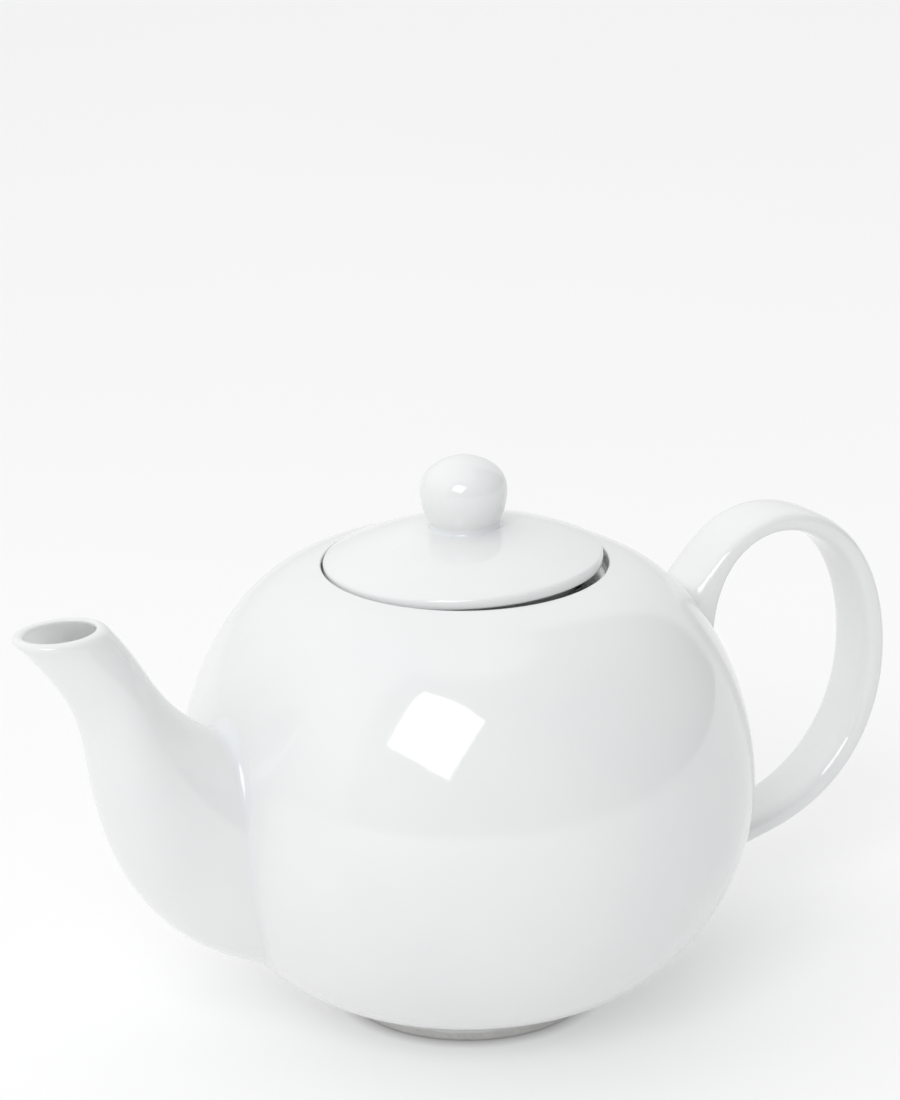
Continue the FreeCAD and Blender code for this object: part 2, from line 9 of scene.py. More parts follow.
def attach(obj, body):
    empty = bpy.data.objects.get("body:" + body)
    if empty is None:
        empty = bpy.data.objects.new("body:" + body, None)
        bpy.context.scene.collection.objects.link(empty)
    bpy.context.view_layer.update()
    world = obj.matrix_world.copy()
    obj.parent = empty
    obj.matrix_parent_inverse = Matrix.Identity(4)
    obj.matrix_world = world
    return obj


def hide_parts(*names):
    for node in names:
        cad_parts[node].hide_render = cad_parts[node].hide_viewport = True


# The looks of a porcelain teapot with a spout, a strap handle, a lid and a steel infuser.
# The shapes are worked out in millimetres and written to the meshes in metres.
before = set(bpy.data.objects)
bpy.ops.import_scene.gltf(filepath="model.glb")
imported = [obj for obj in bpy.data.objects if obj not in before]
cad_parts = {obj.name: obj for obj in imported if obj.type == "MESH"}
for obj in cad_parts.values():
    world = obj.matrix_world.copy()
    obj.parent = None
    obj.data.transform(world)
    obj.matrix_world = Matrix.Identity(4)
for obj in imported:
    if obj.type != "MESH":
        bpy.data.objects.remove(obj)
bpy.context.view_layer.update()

MM = 0.001

# ---------------------------------------------------------------- sizes of the porcelain

BELLY_RADIUS, BELLY_HEIGHT = 75.0, 60.3
SHOULDER_CENTRE = (28.5, 81.4)
LOWER_CENTRE = (14.4, 60.3)
BASE_CENTRE = (24.8, 51.8)
WALL = 4.2
OPENING_RADIUS = 36.8
LEDGE_RADIUS, LEDGE_TOP, LEDGE_UNDERSIDE, LEDGE_SLOPE = 32.8, 116.0, 109.9, 1.5
FLOOR_HEIGHT, BODY_UNDERSIDE = 9.3, 5.5
STRAINER_HOLE, STRAINER_HEIGHT = 5.0, 52.0
STRAINER_ROW_PITCH, STRAINER_COLUMN_PITCH = 7.5, 8.5
STRAINER_DRILL_REACHES = (-78.0, -40.0)
LID_SEAT, LID_RADIUS, LID_EDGE, LID_HOLLOW = 116.8, 35.9, 120.3, 123.0
# The lid rests on a flat ring, and its underside rises from there to a thinner edge.
LID_SEAT_REACH, LID_UNDERCUT = 31.5, 1.0
SKIRT_OUTER, SKIRT_INNER, SKIRT_BOTTOM = 29.3, 25.8, 106.4
SKIRT_FLARE, SKIRT_MIDDLE, SKIRT_SUNK = 30.6, 27.5, 0.6
FOOT_INNER, FOOT_OUTER, FOOT_SUNK = 28.0, 32.8, 0.5
KNOB_SEAT_RADIUS, KNOB_SEAT = 9.9, 128.0

# Reach and height of the spout's upper line, reach and height of its lower line, half width.
SPOUT = [
    (60.0, 80.0, 60.0, 22.0, 23.0),
    (72.0, 88.0, 78.5, 31.5, 18.7),
    (82.6, 96.4, 96.6, 52.0, 16.0),
    (89.4, 105.0, 104.4, 75.5, 14.4),
    (95.3, 114.6, 109.1, 98.5, 12.5),
    (101.6, 123.0, 125.1, 122.2, 9.5),
]
SPOUT_ROOT_WALL, SPOUT_LIP_WALL = 3.6, 2.6

# Reach and height of the handle's centre-line, its thickness and its width.
HANDLE = [
    (62.6, 79.0, 21.5, 21.0),
    (68.5, 97.0, 12.0, 18.8),
    (73.5, 105.0, 7.8, 17.8),
    (81.0, 112.0, 6.3, 17.4),
    (92.0, 115.4, 6.0, 17.4),
    (104.0, 113.1, 6.3, 17.4),
    (115.2, 105.0, 6.6, 17.4),
    (122.5, 92.1, 6.8, 17.4),
    (125.4, 77.0, 6.9, 17.4),
    (124.0, 61.3, 7.1, 17.4),
    (117.4, 46.6, 7.2, 17.4),
    (106.3, 35.9, 7.1, 17.4),
    (93.2, 30.0, 6.9, 17.6),
    (79.0, 27.0, 7.8, 18.6),
    (68.0, 25.4, 11.0, 20.5),
    (56.0, 26.5, 14.0, 22.0),
]
HANDLE_SQUARENESS = 3.0

# ---------------------------------------------------------------- flat outlines


def arc(centre, radius, first, last, spacing=1.2):
    """Points along a circular arc in the radius-height plane, between two angles in degrees."""
    count = max(6, int(abs(radians(last - first)) * radius / spacing))
    turns = np.radians(np.linspace(first, last, count + 1))
    return [(centre[0] + radius * cos(t), centre[1] + radius * sin(t)) for t in turns]


def line(start, end, spacing=1.5):
    """Evenly spaced points from start to end."""
    count = max(1, ceil(hypot(end[0] - start[0], end[1] - start[1]) / spacing))
    return [
        (start[0] + (end[0] - start[0]) * k / count, start[1] + (end[1] - start[1]) * k / count)
        for k in range(count + 1)
    ]


def bezier(start, control, end, count):
    """Points of a quadratic curve that leaves start towards control and reaches end from it."""
    start, control, end = (np.array(p, float) for p in (start, control, end))
    shares = np.linspace(0, 1, count + 1)[:, None]
    return (1 - shares) ** 2 * start + 2 * shares * (1 - shares) * control + shares ** 2 * end


CORNER_STEPS = 6


def rounded(corners):
    """Straight lines through corners given as radius, height and rounding, each corner softened
    by its rounding."""
    points = [tuple(corners[0][:2])]
    for before, here, after in zip(corners, corners[1:], corners[2:]):
        corner = np.array(here[:2], float)
        back = np.array(before[:2], float) - corner
        ahead = np.array(after[:2], float) - corner
        back /= np.linalg.norm(back)
        ahead /= np.linalg.norm(ahead)
        half = acos(float(np.clip(back @ ahead, -1, 1))) / 2
        cut = here[2] / np.tan(half) if here[2] > 0 else 0
        if cut == 0:
            points += line(points[-1], tuple(corner))[1:]
            continue
        first, last = corner + back * cut, corner + ahead * cut
        middle = corner + (back + ahead) / np.linalg.norm(back + ahead) * here[2] / sin(half)
        points += line(points[-1], tuple(first))[1:]
        start = atan2(first[1] - middle[1], first[0] - middle[0])
        sweep = atan2(last[1] - middle[1], last[0] - middle[0]) - start
        sweep = (sweep + pi) % (2 * pi) - pi
        for k in range(1, CORNER_STEPS + 1):
            turn = start + sweep * k / CORNER_STEPS
            points.append((middle[0] + here[2] * cos(turn), middle[1] + here[2] * sin(turn)))
    return points + line(points[-1], tuple(corners[-1][:2]))[1:]


def chained(*runs):
    """One outline from several, without the points they share."""
    points = []
    for run in runs:
        for point in run:
            if not points or hypot(point[0] - points[-1][0], point[1] - points[-1][1]) > 1e-4:
                points.append((float(point[0]), float(point[1])))
    return points


# ---------------------------------------------------------------- meshes


def make_mesh(name, vertices, faces):
    """A smooth mesh from vertices in millimetres. Its faces are turned to look outwards."""
    mesh = bpy.data.meshes.new(name)
    mesh.from_pydata([tuple(MM * c for c in v) for v in vertices], [], faces)
    work = bmesh.new()
    work.from_mesh(mesh)
    bmesh.ops.recalc_face_normals(work, faces=work.faces)
    work.to_mesh(mesh)
    work.free()
    mesh.shade_smooth()
    return mesh


def add_piece(name, mesh, body, material, nodes):
    """Show a mesh on a body, in place of the CAD nodes that are named."""
    piece = bpy.data.objects.new(name, mesh)
    bpy.context.scene.collection.objects.link(piece)
    mesh.materials.append(material)
    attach(piece, body)
    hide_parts(*nodes)


def turned(outline, count=256):
    """The surface that an outline sweeps about the pot's axis. An outline that starts and ends
    on the axis is closed there, and any other closes on itself."""
    on_axis = outline[0][0] < 1e-6
    vertices, rings, faces = [], [], []
    turns = [2 * pi * k / count for k in range(count)]
    for radius, height in outline:
        if radius < 1e-6:
            rings.append([len(vertices)] * count)
            vertices.append((0.0, 0.0, height))
        else:
            rings.append(list(range(len(vertices), len(vertices) + count)))
            vertices += [(radius * cos(t), radius * sin(t), height) for t in turns]
    pairs = list(zip(rings, rings[1:]))
    if not on_axis:
        pairs.append((rings[-1], rings[0]))
    for low, high in pairs:
        for k in range(count):
            corners = (low[k], low[(k + 1) % count], high[(k + 1) % count], high[k])
            faces.append(tuple(dict.fromkeys(corners)))
    return vertices, faces


def woven(rows):
    """A closed skin through equal closed rows of points, the last row joined to the first."""
    count = len(rows[0])
    vertices = [tuple(p) for row in rows for p in row]
    faces = []
    for r in range(len(rows)):
        low, high = r * count, (r + 1) % len(rows) * count
        for k in range(count):
            after = (k + 1) % count
            faces.append((low + k, low + after, high + after, high + k))
    return vertices, faces


# ---------------------------------------------------------------- pot body

# The shoulder's arc stops this many degrees before the rim, and the underside's flat this far
# from the wall. Straight runs join them.
RIM_RUN, UNDERSIDE_RUN = 3, 0.4
SHOULDER_GAP = hypot(SHOULDER_CENTRE[0], SHOULDER_CENTRE[1] - BELLY_HEIGHT)
SHOULDER_TURN = degrees(atan2(SHOULDER_CENTRE[1] - BELLY_HEIGHT, SHOULDER_CENTRE[0]))
BASE_GAP = hypot(BASE_CENTRE[0] - LOWER_CENTRE[0], BASE_CENTRE[1] - LOWER_CENTRE[1])
BASE_TURN = degrees(atan2(BASE_CENTRE[1] - LOWER_CENTRE[1], BASE_CENTRE[0] - LOWER_CENTRE[0]))


def wall_arcs(inset, first, last):
    """The pot's four tangent arcs from the base up, moved in by an inset from the outer face."""
    side = BELLY_RADIUS - inset
    lower = side - LOWER_CENTRE[0]
    return chained(
        arc(BASE_CENTRE, lower - BASE_GAP, first, BASE_TURN),
        arc(LOWER_CENTRE, lower, BASE_TURN, 0),
        arc((0.0, BELLY_HEIGHT), side, 0, SHOULDER_TURN),
        arc(SHOULDER_CENTRE, side - SHOULDER_GAP, SHOULDER_TURN, last),
    )


base_radius = BELLY_RADIUS - LOWER_CENTRE[0] - BASE_GAP
shoulder_radius = BELLY_RADIUS - SHOULDER_GAP
base_start = degrees(asin((BODY_UNDERSIDE - BASE_CENTRE[1]) / base_radius))
shoulder_end = degrees(acos((OPENING_RADIUS - SHOULDER_CENTRE[0]) / shoulder_radius))
outer_wall = wall_arcs(0.0, base_start, shoulder_end - RIM_RUN)
rim_height = SHOULDER_CENTRE[1] + shoulder_radius * sin(radians(shoulder_end))
inner_end = degrees(asin((LEDGE_UNDERSIDE - SHOULDER_CENTRE[1]) / (shoulder_radius - WALL)))
inner_wall = wall_arcs(WALL, -90, inner_end)[::-1]
body_outline = chained(
    line((0, BODY_UNDERSIDE), (outer_wall[0][0] - UNDERSIDE_RUN, BODY_UNDERSIDE)),
    outer_wall,
    rounded(
        [
            (outer_wall[-1][0], outer_wall[-1][1], 0),
            (OPENING_RADIUS, rim_height, 0.6),
            (OPENING_RADIUS, LEDGE_TOP, 0.6),
            (LEDGE_RADIUS, LEDGE_TOP, 0.7),
            (LEDGE_RADIUS, LEDGE_UNDERSIDE + LEDGE_SLOPE, 0.9),
            (inner_wall[0][0], inner_wall[0][1], 0),
        ]
    ),
    inner_wall,
    line((BASE_CENTRE[0], inner_wall[-1][1]), (0, FLOOR_HEIGHT)),
)


def body_radius(height):
    """The pot's outer radius at a height, from its arcs."""
    height = np.asarray(height, float)
    above = height > SHOULDER_CENTRE[1] + shoulder_radius * sin(radians(SHOULDER_TURN))
    below = height < BASE_CENTRE[1] + base_radius * sin(radians(BASE_TURN))
    low_side = (height < BELLY_HEIGHT) & ~below

    def on_arc(centre, radius):
        return centre[0] + np.sqrt(np.maximum(radius ** 2 - (height - centre[1]) ** 2, 0))

    return np.select(
        [above, below, low_side],
        [
            on_arc(SHOULDER_CENTRE, shoulder_radius),
            on_arc(BASE_CENTRE, base_radius),
            on_arc(LOWER_CENTRE, BELLY_RADIUS - LOWER_CENTRE[0]),
        ],
        on_arc((0.0, BELLY_HEIGHT), BELLY_RADIUS),
    )


def body_normals(points):
    """Unit normals of the pot's outer face beside the given points."""
    step = 0.01
    slope = (body_radius(points[:, 2] + step) - body_radius(points[:, 2] - step)) / (2 * step)
    across = np.hypot(points[:, 0], points[:, 1])
    normals = np.column_stack([points[:, 0] / across, points[:, 1] / across, -slope])
    return normals / np.linalg.norm(normals, axis=1)[:, None]


def onto_body(points, sunk):
    """The points moved onto the pot's outer face, and then in from it."""
    across = np.hypot(points[:, 0], points[:, 1])
    scale = body_radius(points[:, 2]) / across
    moved = points.copy()
    moved[:, :2] *= scale[:, None]
    return moved - body_normals(moved) * sunk


def bored(mesh_data, drills):
    """A mesh with other closed meshes cut out of it."""
    solid = bpy.data.objects.new("solid", mesh_data)
    tool = bpy.data.objects.new("tool", drills)
    for item in (solid, tool):
        bpy.context.scene.collection.objects.link(item)
    cut = solid.modifiers.new("holes", "BOOLEAN")
    cut.object = tool
    cut.operation = "DIFFERENCE"
    cut.solver = "EXACT"
    bpy.context.view_layer.update()
    ready = solid.evaluated_get(bpy.context.evaluated_depsgraph_get())
    result = bpy.data.meshes.new_from_object(ready)
    for item in (solid, tool):
        bpy.data.objects.remove(item)
    return result


def strainer_drills():
    """Round bars along X through the wall behind the spout, in rows of three and two."""
    vertices, faces = [], []
    count = 32
    radius = STRAINER_HOLE / 2
    turns = [2 * pi * k / count for k in range(count)]
    for row in range(-2, 3):
        height = STRAINER_HEIGHT + row * STRAINER_ROW_PITCH
        for column in (-1, 0, 1) if row % 2 == 0 else (-0.5, 0.5):
            start = len(vertices)
            side = column * STRAINER_COLUMN_PITCH
            ring = [(side + radius * cos(t), height + radius * sin(t)) for t in turns]
            for reach in STRAINER_DRILL_REACHES:
                vertices += [(reach, *place) for place in ring]
            faces.append(tuple(start + k for k in range(count)))
            faces.append(tuple(start + 2 * count - 1 - k for k in range(count)))
            for k in range(count):
                after = (k + 1) % count
                faces.append((start + k, start + after, start + count + after, start + count + k))
    return make_mesh("drills", vertices, faces)


# ---------------------------------------------------------------- spout and handle skins


def splined(stations, count):
    """Smooth values through stations of numbers, by a natural cubic spline over their spacing."""
    stations = np.array(stations, float)
    gaps = np.linalg.norm(np.diff(stations[:, :2], axis=0), axis=1)
    if stations.shape[1] > 4:
        gaps += np.linalg.norm(np.diff(stations[:, 2:4], axis=0), axis=1)
    knots = np.concatenate([[0], np.cumsum(gaps)])
    size = len(knots)
    system = np.eye(size)
    target = np.zeros_like(stations)
    for k in range(1, size - 1):
        left, right = gaps[k - 1], gaps[k]
        system[k, k - 1:k + 2] = (left, 2 * (left + right), right)
        rise_left = (stations[k] - stations[k - 1]) / left
        rise_right = (stations[k + 1] - stations[k]) / right
        target[k] = 6 * (rise_right - rise_left)
    bends = np.linalg.solve(system, target)
    places = np.linspace(0, knots[-1], count)
    spans = np.clip(np.searchsorted(knots, places, side="right") - 1, 0, size - 2)
    width = gaps[spans][:, None]
    after = (places - knots[spans])[:, None]
    ahead = width - after
    return (
        bends[spans] * ahead ** 3 / (6 * width)
        + bends[spans + 1] * after ** 3 / (6 * width)
        + (stations[spans] / width - bends[spans] * width / 6) * ahead
        + (stations[spans + 1] / width - bends[spans + 1] * width / 6) * after
    )


def signed_power(values, power):
    """The size of each value raised to a power, with its sign kept."""
    return np.sign(values) * np.abs(values) ** power


def spread(columns, lengths):
    """Points along each column (a line of points) at the given distances from its start."""
    result = []
    for column, wanted in zip(columns, lengths):
        steps = np.concatenate([[0], np.cumsum(np.linalg.norm(np.diff(column, axis=0), axis=1))])
        axes = [np.interp(wanted, steps, column[:, axis]) for axis in range(3)]
        result.append(np.column_stack(axes))
    return np.array(result)


def clear_of_body(columns):
    """Each column's part outside the pot, from the point where it leaves the pot's outer face."""
    trimmed = []
    for column in columns:
        outside = np.hypot(column[:, 0], column[:, 1]) - body_radius(column[:, 2])
        outside[column[:, 2] > rim_height] = 1.0
        first = int(np.nonzero(outside < 0)[0].max()) + 1
        share = outside[first - 1] / (outside[first - 1] - outside[first])
        crossing = column[first - 1] + share * (column[first] - column[first - 1])
        trimmed.append(np.vstack([crossing[None], column[first:]]))
    return trimmed


FILLET_STEPS = 10
# Below the pot's face: the depth of a fillet's foot, and of the hidden row that follows it.
SUNK, BURIED = 0.02, 1.2


def flared_root(columns, inner_points, radii):
    """Rows that carry a limb's skin down onto the pot in a soft fillet, and then into its wall.

    columns start on the pot's face, radii gives the fillet's reach for each of them, and
    inner_points are points inside the limb, which tell the way out from it."""
    crossing = np.array([c[0] for c in columns])
    lifted = spread(columns, [[r] for r in radii])[:, 0]
    normals = body_normals(crossing)
    away = crossing - inner_points
    away -= (away * normals).sum(axis=1)[:, None] * normals
    away /= np.linalg.norm(away, axis=1)[:, None]
    spread_out = crossing + away * np.array(radii)[:, None]
    landed = onto_body(spread_out, SUNK)
    rows = [onto_body(spread_out, BURIED)]
    for k in range(FILLET_STEPS + 1):
        t = k / FILLET_STEPS
        rows.append((1 - t) ** 2 * landed + 2 * t * (1 - t) * crossing + t ** 2 * lifted)
    return rows


# Points round a limb, and steps along it: for its curve, its skin, its bore and the lip's turn.
AROUND = 128
FINE = 700
SPOUT_STEPS, HANDLE_STEPS, BORE_STEPS, LIP_STEPS = 90, 110, 60, 8
# A bead round the outer side of the lip: its thickness, its distance below the lip, its spread.
LIP_BEAD, LIP_BEAD_MIDDLE, LIP_BEAD_REACH = 0.5, 1.9, 1.6
# The height of the lip's turn, as a share of half the wall.
LIP_RISE = 1.1
# The reach of the fillet at a root all round it, and what is added to it on each side.
SPOUT_FILLET, SPOUT_FILLET_ABOVE = 1.5, 3.4
HANDLE_FILLET = 1.6
UPPER_FILLET_OUTSIDE, UPPER_FILLET_INSIDE, LOWER_FILLET_OUTSIDE = 6.4, 6.5, 1.4
around = np.arange(AROUND) * 2 * pi / AROUND


def spout_columns(inset_root, inset_lip):
    """Lines of points along the spout's skin, from inside the pot to the lip, one for each turn."""
    path = splined(SPOUT, FINE)
    inset = np.linspace(inset_root, inset_lip, FINE)
    top = np.column_stack([-path[:, 0], np.zeros(FINE), path[:, 1]])
    under = np.column_stack([-path[:, 2], np.zeros(FINE), path[:, 3]])
    half = (top - under) / 2
    length = np.linalg.norm(half, axis=1)
    half *= (1 - inset / length)[:, None]
    centre = (top + under) / 2
    width = path[:, 4] - inset
    grid = centre[None] + half[None] * np.cos(around)[:, None, None]
    grid[:, :, 1] += width[None] * np.sin(around)[:, None]
    return grid


def lengths_of(columns):
    """The length along each column."""
    return np.array([np.linalg.norm(np.diff(c, axis=0), axis=1).sum() for c in columns])


def spout_rows():
    """The spout's skin as closed rows: fillet, outer face, lip and back down the bore."""
    outer = clear_of_body(spout_columns(0.0, 0.0))
    bore = clear_of_body(spout_columns(SPOUT_ROOT_WALL, SPOUT_LIP_WALL))
    crossing = np.array([c[0] for c in outer])
    upper = np.clip(np.cos(around), 0, 1)
    radii = SPOUT_FILLET + SPOUT_FILLET_ABOVE * upper ** 2
    middle = np.tile(crossing.mean(axis=0), (AROUND, 1))
    rows = flared_root(outer, middle, radii)
    total = lengths_of(outer)
    lip_round = SPOUT_LIP_WALL / 2
    shares = np.linspace(0, 1, SPOUT_STEPS)[1:]
    lengths = [r + (t - lip_round - r) * shares for r, t in zip(radii, total)]
    skin = spread(outer, lengths)
    outward = skin[:, -1] - skin[:, -1].mean(axis=0)
    outward /= np.linalg.norm(outward, axis=1)[:, None]
    to_lip = total[:, None] - np.array(lengths)
    bead = LIP_BEAD * np.exp(-((to_lip - LIP_BEAD_MIDDLE) / LIP_BEAD_REACH) ** 2)
    bead *= (1 - np.cos(around))[:, None] / 2
    skin += bead[:, :, None] * outward[:, None]
    rows += [skin[:, k] for k in range(skin.shape[1])]
    outer_edge = skin[:, -1]
    bore_total = lengths_of(bore)
    bore_shares = np.linspace(1, 0, BORE_STEPS)
    inner = spread(bore, [(t - lip_round) * bore_shares for t in bore_total])
    inner_edge = inner[:, 0]
    along = np.array([c[-1] for c in outer]) - outer_edge
    along /= np.linalg.norm(along, axis=1)[:, None]
    across = (inner_edge - outer_edge) / 2
    for k in range(1, LIP_STEPS):
        t = pi * k / LIP_STEPS
        rise = sin(t) * lip_round * LIP_RISE
        rows.append(outer_edge + across * (1 - cos(t)) + along * rise)
    rows += [inner[:, k] for k in range(inner.shape[1])]
    rows.append(onto_body(inner[:, -1], BURIED))
    return rows


def handle_columns():
    """Lines of points along the handle's skin from its upper end, one for each turn."""
    path = splined(HANDLE, FINE)
    centre = np.column_stack([path[:, 0], np.zeros(FINE), path[:, 1]])
    run = np.gradient(centre, axis=0)
    run /= np.linalg.norm(run, axis=1)[:, None]
    outward = np.column_stack([-run[:, 2], np.zeros(FINE), run[:, 0]])
    power = 2 / HANDLE_SQUARENESS
    along = signed_power(np.cos(around), power)
    across = signed_power(np.sin(around), power)
    grid = centre[None] + (outward * path[:, 2:3] / 2)[None] * along[:, None, None]
    grid[:, :, 1] += path[None, :, 3] / 2 * across[:, None]
    return grid


def handle_rows():
    """The handle's skin as closed rows, from its upper root to its lower one."""
    grid = handle_columns()
    middle = FINE // 2
    upper = clear_of_body(grid[:, :middle])
    lower = clear_of_body(grid[:, middle - 1:][:, ::-1])
    side = signed_power(np.cos(around), 2 / HANDLE_SQUARENESS)
    outside, inside = np.clip(side, 0, 1), np.clip(-side, 0, 1)
    added = UPPER_FILLET_OUTSIDE * outside ** 2, UPPER_FILLET_INSIDE * inside ** 2
    upper_radii = HANDLE_FILLET + added[0] + added[1]
    lower_radii = HANDLE_FILLET + LOWER_FILLET_OUTSIDE * outside
    rows = []
    for columns, radii in ((upper, upper_radii), (lower, lower_radii)):
        crossing = np.array([c[0] for c in columns])
        middles = np.tile(crossing.mean(axis=0), (AROUND, 1))
        root = flared_root(columns, middles, radii)
        shares = np.linspace(0, 1, HANDLE_STEPS)[1:]
        lengths = [r + (t - r) * shares for r, t in zip(radii, lengths_of(columns))]
        skin = spread(columns, lengths)
        rows.append(root + [skin[:, k] for k in range(skin.shape[1])])
    return rows[0] + rows[1][::-1][1:]


def capped(rows):
    """A skin through closed rows with its two ends filled."""
    vertices, faces = woven(rows)
    count = len(rows[0])
    faces = faces[:(len(rows) - 1) * count]
    for ring in (rows[0], rows[-1]):
        start = 0 if ring is rows[0] else (len(rows) - 1) * count
        vertices.append(tuple(np.mean(ring, axis=0)))
        hub = len(vertices) - 1
        faces += [(start + k, start + (k + 1) % count, hub) for k in range(count)]
    return vertices, faces


# ---------------------------------------------------------------- lid and foot


def axis_arc(low, high):
    """The centre height and radius of an arc struck from the axis through two points."""
    drop = (low[0] ** 2 - high[0] ** 2) / (high[1] - low[1])
    centre = (low[1] + high[1] - drop) / 2
    return centre, hypot(low[0], low[1] - centre)


def on_axis_arc(centre, radius, start, end, spacing=1.0):
    """Points of that arc between two radii from the axis."""
    count = max(4, int(abs(end - start) / spacing))
    return [(r, centre + sqrt(radius ** 2 - r ** 2)) for r in np.linspace(start, end, count + 1)]


dome_centre, dome_radius = axis_arc((LID_RADIUS, LID_EDGE), (KNOB_SEAT_RADIUS, KNOB_SEAT))
hollow_centre, hollow_radius = axis_arc((SKIRT_INNER, LID_SEAT), (0.0, LID_HOLLOW))
dome_start = LID_RADIUS - 2.5
dome_foot = (dome_start, dome_centre + sqrt(dome_radius ** 2 - dome_start ** 2))
lid_outline = chained(
    on_axis_arc(hollow_centre, hollow_radius, 0.0, SKIRT_INNER),
    rounded(
        [
            (SKIRT_INNER, LID_SEAT, 0),
            (LID_SEAT_REACH, LID_SEAT, 0),
            (LID_RADIUS, LID_SEAT + LID_UNDERCUT, 0.5),
            (LID_RADIUS, LID_EDGE, 1.2),
            (dome_foot[0], dome_foot[1], 0),
        ]
    ),
    on_axis_arc(dome_centre, dome_radius, dome_start, 0.0),
)
skirt_outline = rounded(
    [
        (SKIRT_MIDDLE, LID_SEAT + SKIRT_SUNK, 0),
        (SKIRT_INNER, LID_SEAT + SKIRT_SUNK, 0),
        (SKIRT_INNER, SKIRT_BOTTOM, 1.2),
        (SKIRT_OUTER, SKIRT_BOTTOM, 1.2),
        (SKIRT_OUTER, LID_SEAT - 1.0, 0),
        (SKIRT_OUTER, LID_SEAT, 0.6),
        (SKIRT_FLARE, LID_SEAT + 0.02, 0),
        (SKIRT_FLARE, LID_SEAT + SKIRT_SUNK, 0),
    ]
)

KNOB_NECK = (8.95, 129.4)
KNOB_WIDEST = (11.2, 138.0)
KNOB_CORNER = 6.8
KNOB_TOP = 146.6
KNOB_FOOT_RADIUS, KNOB_SUNK = 9.9, 0.15
KNOB_FLARE_STEPS, KNOB_SPACING = 12, 0.5


def knob_outline():
    """Half of the knob's section: its foot on the dome, its waist, its round corner and its top."""
    out, up = KNOB_WIDEST[0] - KNOB_NECK[0], KNOB_WIDEST[1] - KNOB_NECK[1]
    waist = (up ** 2 + out ** 2) / (2 * out)
    rise = KNOB_TOP - KNOB_WIDEST[1]
    inward = KNOB_WIDEST[0] - KNOB_CORNER
    drop = (inward ** 2 - (rise - KNOB_CORNER) ** 2) / (2 * (rise - KNOB_CORNER))
    turn = degrees(atan2(drop, inward))

    def dome_at(radius):
        return dome_centre + sqrt(dome_radius ** 2 - radius ** 2)

    foot = dome_at(KNOB_FOOT_RADIUS) - KNOB_SUNK
    bend = (KNOB_NECK[0] + 0.1, foot + 0.1)
    flare = bezier((KNOB_FOOT_RADIUS, foot), bend, KNOB_NECK, KNOB_FLARE_STEPS)
    side = (KNOB_WIDEST[0] - waist, KNOB_WIDEST[1])
    return chained(
        [(0.0, KNOB_SEAT - 1.5), (KNOB_FOOT_RADIUS, foot - 1.0)],
        flare,
        arc(side, waist, -degrees(asin(up / waist)), 0, KNOB_SPACING),
        arc((inward, KNOB_WIDEST[1]), KNOB_CORNER, 0, turn, KNOB_SPACING),
        arc((0.0, KNOB_WIDEST[1] - drop), rise + drop, turn, 90, KNOB_SPACING),
    )


# The lid sits a little askew: tilted in degrees, so that one side is high, and slid away from
# that side. The knob stands slightly off the lid's middle, on the high side.
LID_TILT, LID_PLAY = 2.1, 0.35
KNOB_OFFSET = 1.0
LID_HIGH_SIDE = (0.669, -0.743, 0.0)


def tipped(vertices, offset):
    """Points of the lid as it sits: moved towards its high side by an offset, then lifted there
    about the low point of the lid's edge, and slid back within the lid's play."""
    high_side = Vector(LID_HIGH_SIDE).normalized()
    turn = Matrix.Rotation(radians(LID_TILT), 3, Vector((high_side.y, -high_side.x, 0)))
    pivot = -LID_RADIUS * high_side + Vector((0, 0, LID_SEAT))
    start, end = offset * high_side - pivot, pivot - LID_PLAY * high_side
    return [tuple(turn @ (Vector(v) + start) + end) for v in vertices]


# The foot's outer side flares out at the top, to meet the pot's base.
foot_outline = rounded(
    [
        (FOOT_INNER + 2.0, BODY_UNDERSIDE + FOOT_SUNK, 0),
        (FOOT_INNER, BODY_UNDERSIDE + FOOT_SUNK, 0),
        (FOOT_INNER, 0.0, 1.0),
        (FOOT_OUTER, 0.0, 1.3),
        (33.6, BODY_UNDERSIDE - 0.7, 0),
        (34.9, BODY_UNDERSIDE + 0.05, 0),
        (34.4, BODY_UNDERSIDE + 0.6, 0),
    ]
)

# ---------------------------------------------------------------- infuser

SHEET = 0.5
SLEEVE_BOTTOM, SLEEVE_TOP = 36.5, 115.4
# The sleeve widens between two heights, and is straight below and above them.
TAPER_HEIGHTS, TAPER_RADII = (44.0, 107.4), (29.0, 31.4)
HOLE_COLUMNS, HOLE_ROWS = 80, 23
HOLES_FROM, HOLE_PITCH, HOLE_RADIUS = 50.0, 2.35, 0.65
HOLE_SIDES = 12
# A hole's first point lies towards its cell's first corner.
HOLE_FIRST = radians(-135)
# Each cell of the sleeve has six edges. These points of its hole divide the rim among them.
HOLE_ARCS = (0, 1, 3, 6, 7, 9, HOLE_SIDES)


def sleeve_radius(height):
    """The sleeve's outer radius at a height."""
    return float(np.interp(height, TAPER_HEIGHTS, TAPER_RADII))


